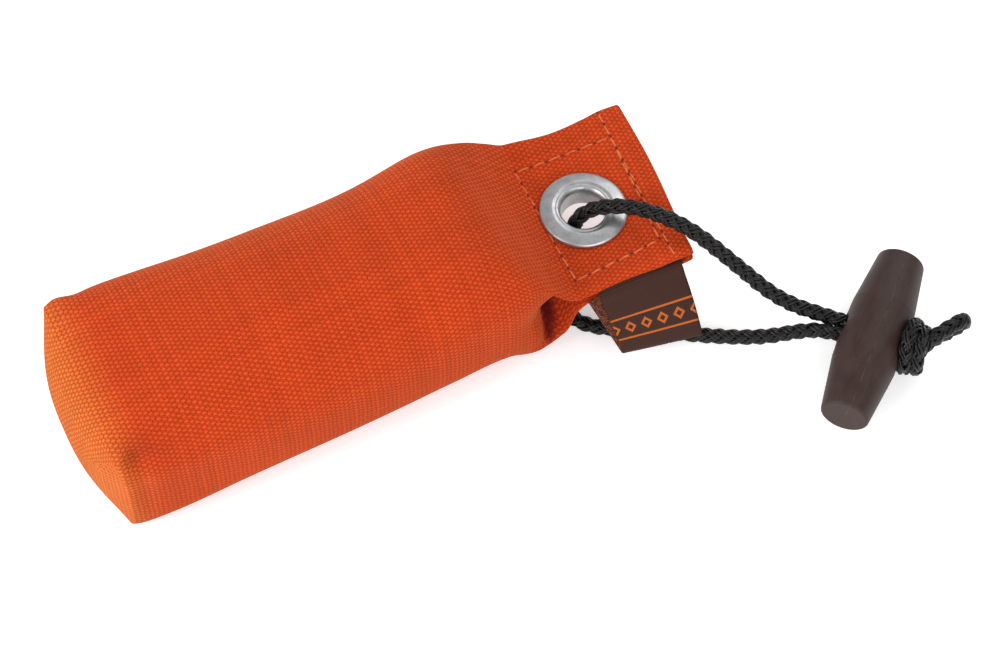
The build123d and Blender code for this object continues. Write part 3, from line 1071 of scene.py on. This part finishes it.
    def folded(self, x: float) -> list[Flat]:
        """The flattened section at x, with both sides folded inwards.

        Args:
            x: Place along the bag in millimetres.

        Returns:
            Points of the ring, in the same steps as the round section.
        """
        wide, low, high = (keyed(keys, x) for keys in (self.folded_width, self.low, self.high))
        middle = (low + high) / 2 + keyed(self.fold_lift, x)
        slit = max(0.06, 0.05 + 0.10 * max(0.0, self.shoulder[1] - x))
        nose = min(self.nose, (high - low) / 4)
        turns = [number * math.pi / 12 for number in range(7)]
        quarter = [(-wide + nose - math.sin(turn) * nose, -math.cos(turn) * nose) for turn in turns]
        inner = (-wide + keyed(self.fold_depth, x), middle)
        lower = [(0.0, low)] + [(y, low + nose + z) for y, z in quarter]
        under = [(-wide, low + nose)] + [(y, low + nose - z) for y, z in quarter[:0:-1]]
        under += [(-wide + 2.2 * nose, min(middle - slit, low + 2 * nose)), inner]
        over = [(y, high - (z - low)) for y, z in under[:-1]] + [inner]
        upper = [(y, high - (z - low)) for y, z in lower]
        half_panel, fold = self.panel_steps // 2, self.gusset_steps
        near = (spaced(lower, half_panel) + spaced(under, fold)[1:]
                + spaced(over, fold)[::-1][1:] + spaced(upper, half_panel)[::-1][1:])
        return near + [(-y, z) for y, z in near[::-1][1:]]

    def section(self, x: float) -> list[Flat]:
        """The section at x: round in the belly, folded in the tab, one easing into the other."""
        share = eased(x, *self.shoulder)
        if share <= 0:
            return self.belly(x)
        folded = self.folded(x)
        if share >= 1:
            return folded
        return [(a + (c - a) * share, b + (d - b) * share)
                for (a, b), (c, d) in zip(self.belly(min(x, 40.0)), folded)]

    def side(self) -> list[Ring]:
        """Rows along the bag, closer at both ends and over the shoulder."""
        found, x = [], self.end
        while x < self.tab_end - 0.4:
            found.append(x)
            x += next(spacing for reach, spacing in self.row_spacing if x < reach)
        return [Ring([x] * len(self.shares), self.section(x), x) for x in [*found, self.tab_end]]

    def cap(self) -> list[Ring]:
        """Rows of the stuffed end, from its middle out to the first ring of the side."""
        ring = self.section(self.end)
        low, high = min(z for _, z in ring), max(z for _, z in ring)
        half_high, half_wide = (high - low) / 2, keyed(self.half_width, self.end)
        middle_z, middle_y = (low + high) / 2, keyed(self.middle_y, self.end)
        span = half_wide - half_high
        rows = []
        for number in range(self.cap_rows):
            grow = math.sin(math.pi / 2 * number / self.cap_rows)
            points, xs = [], []
            for step, (y, z) in enumerate(ring):
                mirror = ring[(len(ring) // 2 - step) % (len(ring) - 1)]
                inner_y = middle_y + max(-span, min(span, (y + mirror[0]) / 2 - middle_y))
                here_y, here_z = inner_y + (y - inner_y) * grow, middle_z + (z - middle_z) * grow
                points.append((here_y, here_z))
                fall = self.end_powers[here_y > middle_y]
                flat_y = 1 - (abs(here_y - middle_y) / half_wide) ** fall
                flat_z = max(0.0, 1 - (abs(here_z - middle_z) / half_high) ** self.end_height_power)
                xs.append(self.end - self.bulge * flat_y * flat_z ** self.end_rounding)
            rows.append(Ring(xs, points, self.end - self.end_run * (1 - grow)))
        return rows

    def hem(self) -> list[Ring]:
        """Rows that turn the mouth's edge, run back inside it and close there."""
        rows = []
        outer = self.section(self.tab_end)
        deepest = self.hem_rows[-1][1]
        for drop, back in self.hem_rows:
            points = []
            for y, z in outer:
                inward = 1.0 if z < TAB_HEIGHT else -1.0
                off = abs(z - TAB_HEIGHT)
                if off >= self.half_slit:
                    corner = drop * eased(abs(y), self.corner_from, TAB_HALF)
                    y = math.copysign(max(0.0, abs(y) - corner), y)
                    z += inward * min(drop, off - 0.05)
                points.append((y, TAB_HEIGHT if back == deepest else z))
            run = self.tab_end + drop + max(0.0, back)
            rows.append(Ring([self.tab_end - back] * len(outer), points, run))
        return rows

    @cached_property
    def rings(self) -> list[Ring]:
        """All rows of the skin, from the middle of the stuffed end to the inside of the mouth."""
        return self.cap() + self.side() + self.hem()

    def build(self, finish: Material) -> Piece:
        """Make the skin.

        Args:
            finish: The canvas.

        Returns:
            The canvas skin, subdivided and punched.
        """
        form = bmesh.new()
        spots = self.lay(form)
        self.map_cloth(form, spots)
        self.dent(form, spots)
        bmesh.ops.remove_doubles(form, verts=form.verts, dist=1e-6)
        skin = add_object("canvas_skin", mesh_from(form, "canvas_skin"), finish)
        finer = skin.modifiers.new("finer", "SUBSURF")
        finer.levels = finer.render_levels = 1
        apply_modifiers(skin)
        self.punch(skin)
        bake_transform(skin, "bag", "tab", start=FLEX_FROM, end=FLEX_TO)
        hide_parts("canvas_sleeve", "granulate_fill", "tab_upper_ply", "tab_lower_ply",
                    "gusset_fold_near", "gusset_fold_far", "end_hem_upper", "end_hem_lower")
        LOG.info("canvas skin with %d faces", len(skin.data.polygons))
        return skin

    def lay(self, form: Form) -> Spots:
        """Lay a grid of cloth over the rings.

        Args:
            form: Receives the grid, its map and its layer of painted crease shade.

        Returns:
            Row and step of each vertex.
        """
        rows, steps = len(self.rings) - 1, len(self.shares) - 1
        bmesh.ops.create_grid(form, x_segments=rows, y_segments=steps, size=1.0)
        form.loops.layers.uv.new("cloth")
        # Layer of shade painted into the canvas's colour in folds and hollows.
        form.verts.layers.float.new("painted_crease_shade")
        spots = {vertex: (round((vertex.co.x + 1) / 2 * rows), round((vertex.co.y + 1) / 2 * steps))
                 for vertex in form.verts}
        for vertex, (row, step) in spots.items():
            x, (y, z) = self.rings[row].xs[step], self.rings[row].section[step]
            wave = self.mouth_wave * math.sin(0.13 * y + 0.9) * eased(x, 58.0, 70.0)
            ruffle = self.edge_wave * math.sin(0.21 * x) * eased(x, 40.0, 46.0)
            y += ruffle * abs(y) * y / TAB_HALF ** 2
            vertex.co = Vector((x + wave + self.skew * y * eased(x, 26.0, 42.0), y, z)) * MM
        return spots

    def map_cloth(self, form: Form, spots: Spots) -> None:
        """Map the cloth in metres: along and round the bag, and over the stuffed end's panels."""
        layer = form.loops.layers.uv["cloth"]
        wrap = self.wrapped(spots)
        corner = self.rings[self.cap_rows].section
        for face in form.faces:
            on_cap = sum(spots[vertex][0] for vertex in face.verts) < 4 * self.cap_rows
            around = sum(self.shares[spots[vertex][1]] for vertex in face.verts) / 4 * PERIMETER
            side = (NEAR_SIDE < around < TOP_SIDE) - (FAR_SIDE < around < UNDERSIDE)
            over = 1 if TOP_SIDE < around < FAR_SIDE else -1
            for loop in face.loops:
                row, step = spots[loop.vert]
                off_y = loop.vert.co.y - corner[step][0] * MM
                off_z = loop.vert.co.z - corner[step][1] * MM
                run = self.shares[step] * PERIMETER * MM
                if on_cap and side:
                    loop[layer].uv = (self.end * MM - abs(off_y), run + side * off_z)
                elif on_cap:
                    loop[layer].uv = (wrap[row, step], run + over * off_y)
                else:
                    loop[layer].uv = (self.rings[row].run * MM, run)

    def wrapped(self, spots: Spots) -> dict[tuple[int, int], float]:
        """Place on the map of each point of the stuffed end, by the length of cloth up to it."""
        points = {spot: vertex.co.copy() for vertex, spot in spots.items()
                  if spot[0] <= self.cap_rows}
        runs = {}
        for row, step in sorted(points, reverse=True):
            if row == self.cap_rows:
                runs[row, step] = self.end * MM
            else:
                stretch = points[row, step] - points[row + 1, step]
                runs[row, step] = runs[row + 1, step] - stretch.length
        return runs

    def dent(self, form: Form, spots: Spots) -> None:
        """Press the dents into the skin, towards the bag's middle line, and note the shade they paint into
        the canvas's colour.
        """
        painted_crease_shade = form.verts.layers.float["painted_crease_shade"]
        for vertex, (row, step) in spots.items():
            fade = (row - self.whole_from) / (self.dented_from - self.whole_from)
            fade = min(1.0, max(0.0, fade))
            run = self.rings[row].run
            if fade and run <= self.tab_end:
                shares = [dent.share(run, self.shares[step] * PERIMETER) for dent in self.dents]
                shared = list(zip(self.dents, shares))
                depth = fade * sum(dent.depth * share for dent, share in shared)
                # Painted shade, kept for the canvas's colour.
                vertex[painted_crease_shade] = min(1.0, sum(dent.shade * share for dent, share in shared))
                if abs(depth) > 0.01:
                    outward = Vector((0.0, vertex.co.y, vertex.co.z - TAB_HEIGHT * MM)).normalized()
                    vertex.co += outward * -depth * MM
            vertex.co.z = max(vertex.co.z, 0.05 * MM)

    def punch(self, skin: Piece) -> None:
        """Punch the eyelet's hole through both plies and line it."""
        axis, radius = middle_of("eyelet_flange"), self.hole * MM
        form = bmesh.new()
        form.from_mesh(skin.data)
        inside = [face for face in form.faces
                  if (face.calc_center_median() - axis).to_2d().length < radius]
        bmesh.ops.delete(form, geom=inside, context="FACES")
        rim = [edge for edge in form.edges if edge.is_boundary]
        for vertex in {vertex for edge in rim for vertex in edge.verts}:
            away = (vertex.co - axis).to_2d().normalized() * radius
            vertex.co.x, vertex.co.y = axis.x + away.x, axis.y + away.y
        bmesh.ops.bridge_loops(form, edges=rim)
        bmesh.ops.recalc_face_normals(form, faces=form.faces)
        form.to_mesh(skin.data)
        form.free()


# --- stitching ---
class SeamRow(NamedTuple):
    """One straight row of lockstitches on the tab, seen from above, in millimetres."""

    start: Flat
    end: Flat
    pitch: float = 3.9


@dataclass
class TabStitching:
    """Lockstitched rows on both faces of the tab, each stitch with a dark bead of painted shade at the
    needle hole beside it.
    """

    cloth: Piece
    surface: BVHTree = field(init=False)
    rows: Sequence[SeamRow] = (
        SeamRow((41.3, 15.4), (66.4, 14.6)), SeamRow((66.4, 14.6), (63.6, -16.5)),
        SeamRow((63.6, -16.5), (40.8, -18.1)), SeamRow((40.8, -18.1), (41.3, 15.4), 3.6),
        SeamRow((66.7, 22.2), (64.6, -22.3), 3.7),
    )
    thread: float = 0.27
    hole: float = 0.46
    sway: float = 0.16
    lifts: Flat = (0.10, -0.06)
    droop: float = 0.22

    def __post_init__(self) -> None:
        """Ready the cloth's surface to lay stitches on."""
        self.surface = BVHTree.FromPolygons([vertex.co for vertex in self.cloth.data.vertices],
                                            [face.vertices for face in self.cloth.data.polygons])

    def build(self, thread: Material, hole: Material) -> None:
        """Sew both faces.

        Args:
            thread: The thread's finish.
            hole: The finish of the needle holes' painted shade.
        """
        stitches, holes = bmesh.new(), bmesh.new()
        for side in (1, -1):
            for number, row in enumerate(self.rows):
                self.sew(stitches, holes, row, side, number)
        for form, name, finish in ((stitches, "tab_thread", thread), (holes, "needle_hole_shades", hole)):
            piece = add_object(name, mesh_from(form, name), finish)
            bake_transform(piece, "bag", "tab", start=FLEX_FROM, end=FLEX_TO)
            if name == "tab_thread":
                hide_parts("box_stitching", "hem_stitching")
            LOG.info("%s with %d faces", name, len(piece.data.polygons))

    def sew(self, stitches: Form, holes: Form, row: SeamRow, side: int, number: int) -> None:
        """Lay the stitches of one row on one face.

        Args:
            stitches: Receives the thread.
            holes: Receives the beads of painted shade at the needle holes.
            row: The row.
            side: 1 for the upper face, -1 for the under face.
            number: The row's number, which varies its small unevenness.
        """
        start, end = Vector((*row.start, 0.0)), Vector((*row.end, 0.0))
        line = end - start
        count = round(line.length / row.pitch)
        ahead = line.normalized()
        for index in range(count):
            sway = self.sway * math.sin(5.1 * index + 2.3 * number + side)
            near = start + line * (index / count)
            far = start + line * ((index + 1) / count)
            middle = (near + far) / 2 + ahead.cross(UP) * sway * 0.5
            length = (far - near).length * (0.80 + 0.06 * math.sin(3.7 * index + number))
            turn = math.atan2(ahead.y, ahead.x) + 0.05 * sway + side * 0.06
            stitch = (length / 2, self.thread * (1 + 0.2 * sway))
            hole = (self.hole * 1.1, self.hole * 0.8)
            self.bead(stitches, middle, turn, stitch, side, self.lifts[0])
            # A dark bead of painted shade at the needle hole.
            self.bead(holes, near, turn, hole, side, self.lifts[1])

    def bead(self, form: Form, middle: Vector, turn: float, size: Flat, side: int,
             lift: float) -> None:
        """Add one rounded, slightly sunken bead lying on the tab's face.

        Args:
            form: Receives the bead.
            middle: Its middle, seen from above.
            turn: Its bearing.
            size: Half its length and half its width.
            side: 1 for the upper face, -1 for the under face.
            lift: How far its middle stands out of the face.
        """
        origin = Vector((middle.x, middle.y, TAB_HEIGHT + side * 60.0)) * MM
        height = self.surface.ray_cast(origin, -UP * side)[0].z / MM
        made = bmesh.ops.create_uvsphere(form, u_segments=8, v_segments=6, radius=1.0)["verts"]
        place = (Matrix.Translation(Vector((middle.x, middle.y, height + side * lift)) * MM)
                 @ Matrix.Rotation(turn, 4, "Z"))
        half_length, half_width = size
        for vertex in made:
            x, y, z = vertex.co
            x = math.copysign(abs(x) ** 0.6, x)
            sunk = z * half_width * 0.75 - side * self.droop * x * x
            vertex.co = place @ (Vector((x * half_length, y * half_width, sunk)) * MM)


# --- eyelet ---
@dataclass
class Eyelet:
    """Stamped flange with its barrel rolled over a washer under the tab."""

    bore: float = 5.05
    outer: float = 10.5
    steps: int = 96

    def build(self, finish: Material) -> None:
        """Turn both parts about the eyelet's axis."""
        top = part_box("tab_upper_ply")[1].z / MM
        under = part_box("tab_lower_ply")[0].z / MM
        rim, barrel, foot = (self.outer, top), (self.bore, top), (self.bore, under)
        flange = [
            *self.near(rim, (-0.1, -0.12), (0.02, 0.1), (0.02, 0.45), (-0.25, 0.8), (-0.9, 1.08),
                       (-2.0, 1.38), (-2.9, 1.52), (-3.3, 1.50), (-3.6, 1.36), (-3.9, 1.33),
                       (-4.15, 1.38)),
            *self.near(barrel, (0.95, 1.26), (0.45, 0.75), (0.08, -0.1), (0.0, -2.0)),
            *self.near(foot, (0.0, -0.4), (0.15, -1.0), (0.8, -1.35), (1.6, -1.1), (1.9, -0.68),
                       (1.5, -0.64), (0.75, -0.75), (0.62, -0.1)),
            *self.near(barrel, (0.6, -1.5), (0.75, -0.25), (1.1, 0.5)),
            *self.near(rim, (-2.8, 0.95), (-1.2, 0.55), (-0.55, 0.1), (-0.45, -0.12),
                       (-0.1, -0.12)),
        ]
        washer = [
            *self.near(foot, (0.66, -0.02)),
            *self.near((self.outer, under), (-0.6, -0.02), (-0.3, -0.06), (-0.28, -0.5),
                       (-0.7, -0.62)),
            *self.near(foot, (3.0, -0.75), (0.9, -0.62), (0.66, -0.5), (0.66, -0.02)),
        ]
        for name, profile in (("flange", flange), ("washer", washer)):
            form = self.lathe(profile, middle_of("eyelet_flange"))
            piece = add_object(f"eyelet_{name}_turned", mesh_from(form, f"eyelet_{name}"), finish)
            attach(piece, "tab")
            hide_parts(f"eyelet_{name}")
            LOG.info("eyelet %s, %d faces", name, len(piece.data.polygons))

    @staticmethod
    def near(corner: Flat, *offsets: Flat) -> list[Flat]:
        """Points of radius and height at offsets from a corner of the profile."""
        return [(corner[0] + out, corner[1] + up) for out, up in offsets]

    def lathe(self, profile: Sequence[Flat], axis: Vector) -> Form:
        """Spin a smooth closed profile of radius and height about the upright axis."""
        line = smooth_line([Vector((radius, 0.0, z)) * MM for radius, z in profile], 5)
        form = bmesh.new()
        verts = [form.verts.new(point + Vector((axis.x, axis.y, 0.0))) for point in line[:-1]]
        edges = [form.edges.new(pair) for pair in zip(verts, verts[1:] + verts[:1])]
        bmesh.ops.spin(form, geom=verts + edges, cent=(axis.x, axis.y, 0.0), axis=UP,
                       angle=2 * math.pi, steps=self.steps, use_merge=True)
        bmesh.ops.remove_doubles(form, verts=form.verts, dist=1e-7)
        return form


# --- woven label ---
@dataclass
class WovenLabel:
    """A brown label, folded double and caught in the tab's near edge."""

    width: float = 21.5
    drop: float = 19.0
    askew: float = 3.1
    sewn: float = 4.0
    bend: float = 1.2
    gap: float = 0.62
    thick: float = 0.30
    hang: float = 53.0
    fan: float = 3.0
    bow: float = 0.9
    slide: float = -2.9
    twist: float = 2.4
    roll: float = 2.4
    columns: int = 28
    rows: int = 64

    @property
    def length(self) -> float:
        """Length of the strip laid flat."""
        return 2 * (self.drop + self.sewn) + self.bend

    def build(self, face: Material, reverse: Material) -> None:
        """Fold the label from one strip.

        Args:
            face: Finish of the side that shows.
            reverse: Finish of the inner side.
        """
        low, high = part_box("woven_label")
        hinge = Vector(((low.x + high.x) / 2, high.y, TAB_HEIGHT * MM)) / MM
        form = bmesh.new()
        bmesh.ops.create_grid(form, x_segments=self.columns, y_segments=self.rows, size=1.0)
        layer = form.loops.layers.uv.new("label")
        for strip in form.faces:
            strip.material_index = 1 if strip.calc_center_median().y > 0.03 else 0
        spots = {vertex: (vertex.co.x * self.width / 2, (vertex.co.y + 1) / 2 * self.length)
                 for vertex in form.verts}
        for vertex, (across, run) in spots.items():
            vertex.co = self.point(hinge, across, run) * MM
            for loop in vertex.link_loops:
                loop[layer].uv = (across * MM, abs(run - self.sewn) * MM)
        label = add_object("woven_label_cloth", mesh_from(form, "woven_label_cloth"), face)
        label.data.materials.append(reverse)
        thick = label.modifiers.new("thick", "SOLIDIFY")
        thick.thickness = self.thick * MM
        thick.offset = 0.0
        apply_modifiers(label)
        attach(label, "label")
        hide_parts("woven_label")
        LOG.info("woven label, %.0f by %.0f mm flat", self.width, self.length)

    def point(self, hinge: Vector, across: float, run: float) -> Vector:
        """Where a point of the strip lies once folded.

        Args:
            hinge: Middle of the line where the label leaves the tab.
            across: Place across the strip, from its middle.
            run: Place along the strip, from the front layer's sewn end.

        Returns:
            The point in millimetres.
        """
        share = across / self.width + 0.5
        behind = run > self.length / 2
        reach = (self.length - run if behind else run) - self.sewn
        layer = -self.gap if behind else 0.0
        if reach <= 0:
            return Vector((hinge.x + across, hinge.y - reach, hinge.z + 0.25 * layer))
        meet = 1 - smoothstep((self.drop - reach) / 1.6)
        lift = self.gap / 2 * meet * (1 if behind else -1)
        reach = min(reach, self.drop) / self.drop * (self.drop - self.askew * (1.0 - share))
        down = reach / self.drop
        bow = self.bow * math.sin(math.pi * min(1.0, down)) * (0.3 + 0.7 * share)
        slide = self.slide * (1.0 - down) if behind else 0.0
        rolled = 0.35 + 0.65 * smoothstep(reach / self.roll)
        turned = math.radians(self.hang - self.fan * share) * rolled
        cos, sin = math.cos(turned), math.sin(turned)
        off = bow + layer + lift
        aside = slide + 0.02 * reach + self.twist * (1.0 - share) ** 2 * down - 0.6
        return Vector((hinge.x + across + aside, hinge.y - reach * cos - off * sin,
                       hinge.z - reach * sin + off * cos))


def dress(finishes: dict[str, Material]) -> None:
    """Give solids that stay visible their finish.

    Args:
        finishes: Material for each solid's name.
    """
    for name, finish in finishes.items():
        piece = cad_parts[name]
        piece.data.materials.clear()
        piece.data.materials.append(finish)
        LOG.info("%s in %s", name, finish.name)


def main() -> None:
    """Build every part of the bumper in order."""
    Studio().build()
    toggle = ToggleFrame()
    CordLoop(toggle, Braid()).build(BraidedNylon().make(), MeltedNylon().make())
    cloth = CanvasSkin().build(Canvas().make())
    thread = Thread().make()
    TabStitching(cloth).build(thread, NeedleHoleShade().make())
    Eyelet().build(StampedMetal(middle_of("eyelet_flange")).make())
    label = WovenLabel()
    face, reverse = (LabelTwill(ground, label.width * MM, label.drop * MM).make()
                     for ground in WovenGround)
    label.build(face, reverse)
    raw = Canvas(uv_map=None, name="raw_canvas").make()
    dress({
        "toggle": MouldedPlastic(toggle.middle, toggle.along, toggle.through).make(),
        "label_sewn_end": reverse,
        "end_seam_allowance": raw,
        "long_seam_allowance": raw,
        "end_seam_thread": thread,
        "long_seam_thread": thread,
    })
    bpy.context.view_layer.update()


if __name__ == "__main__":
    main()
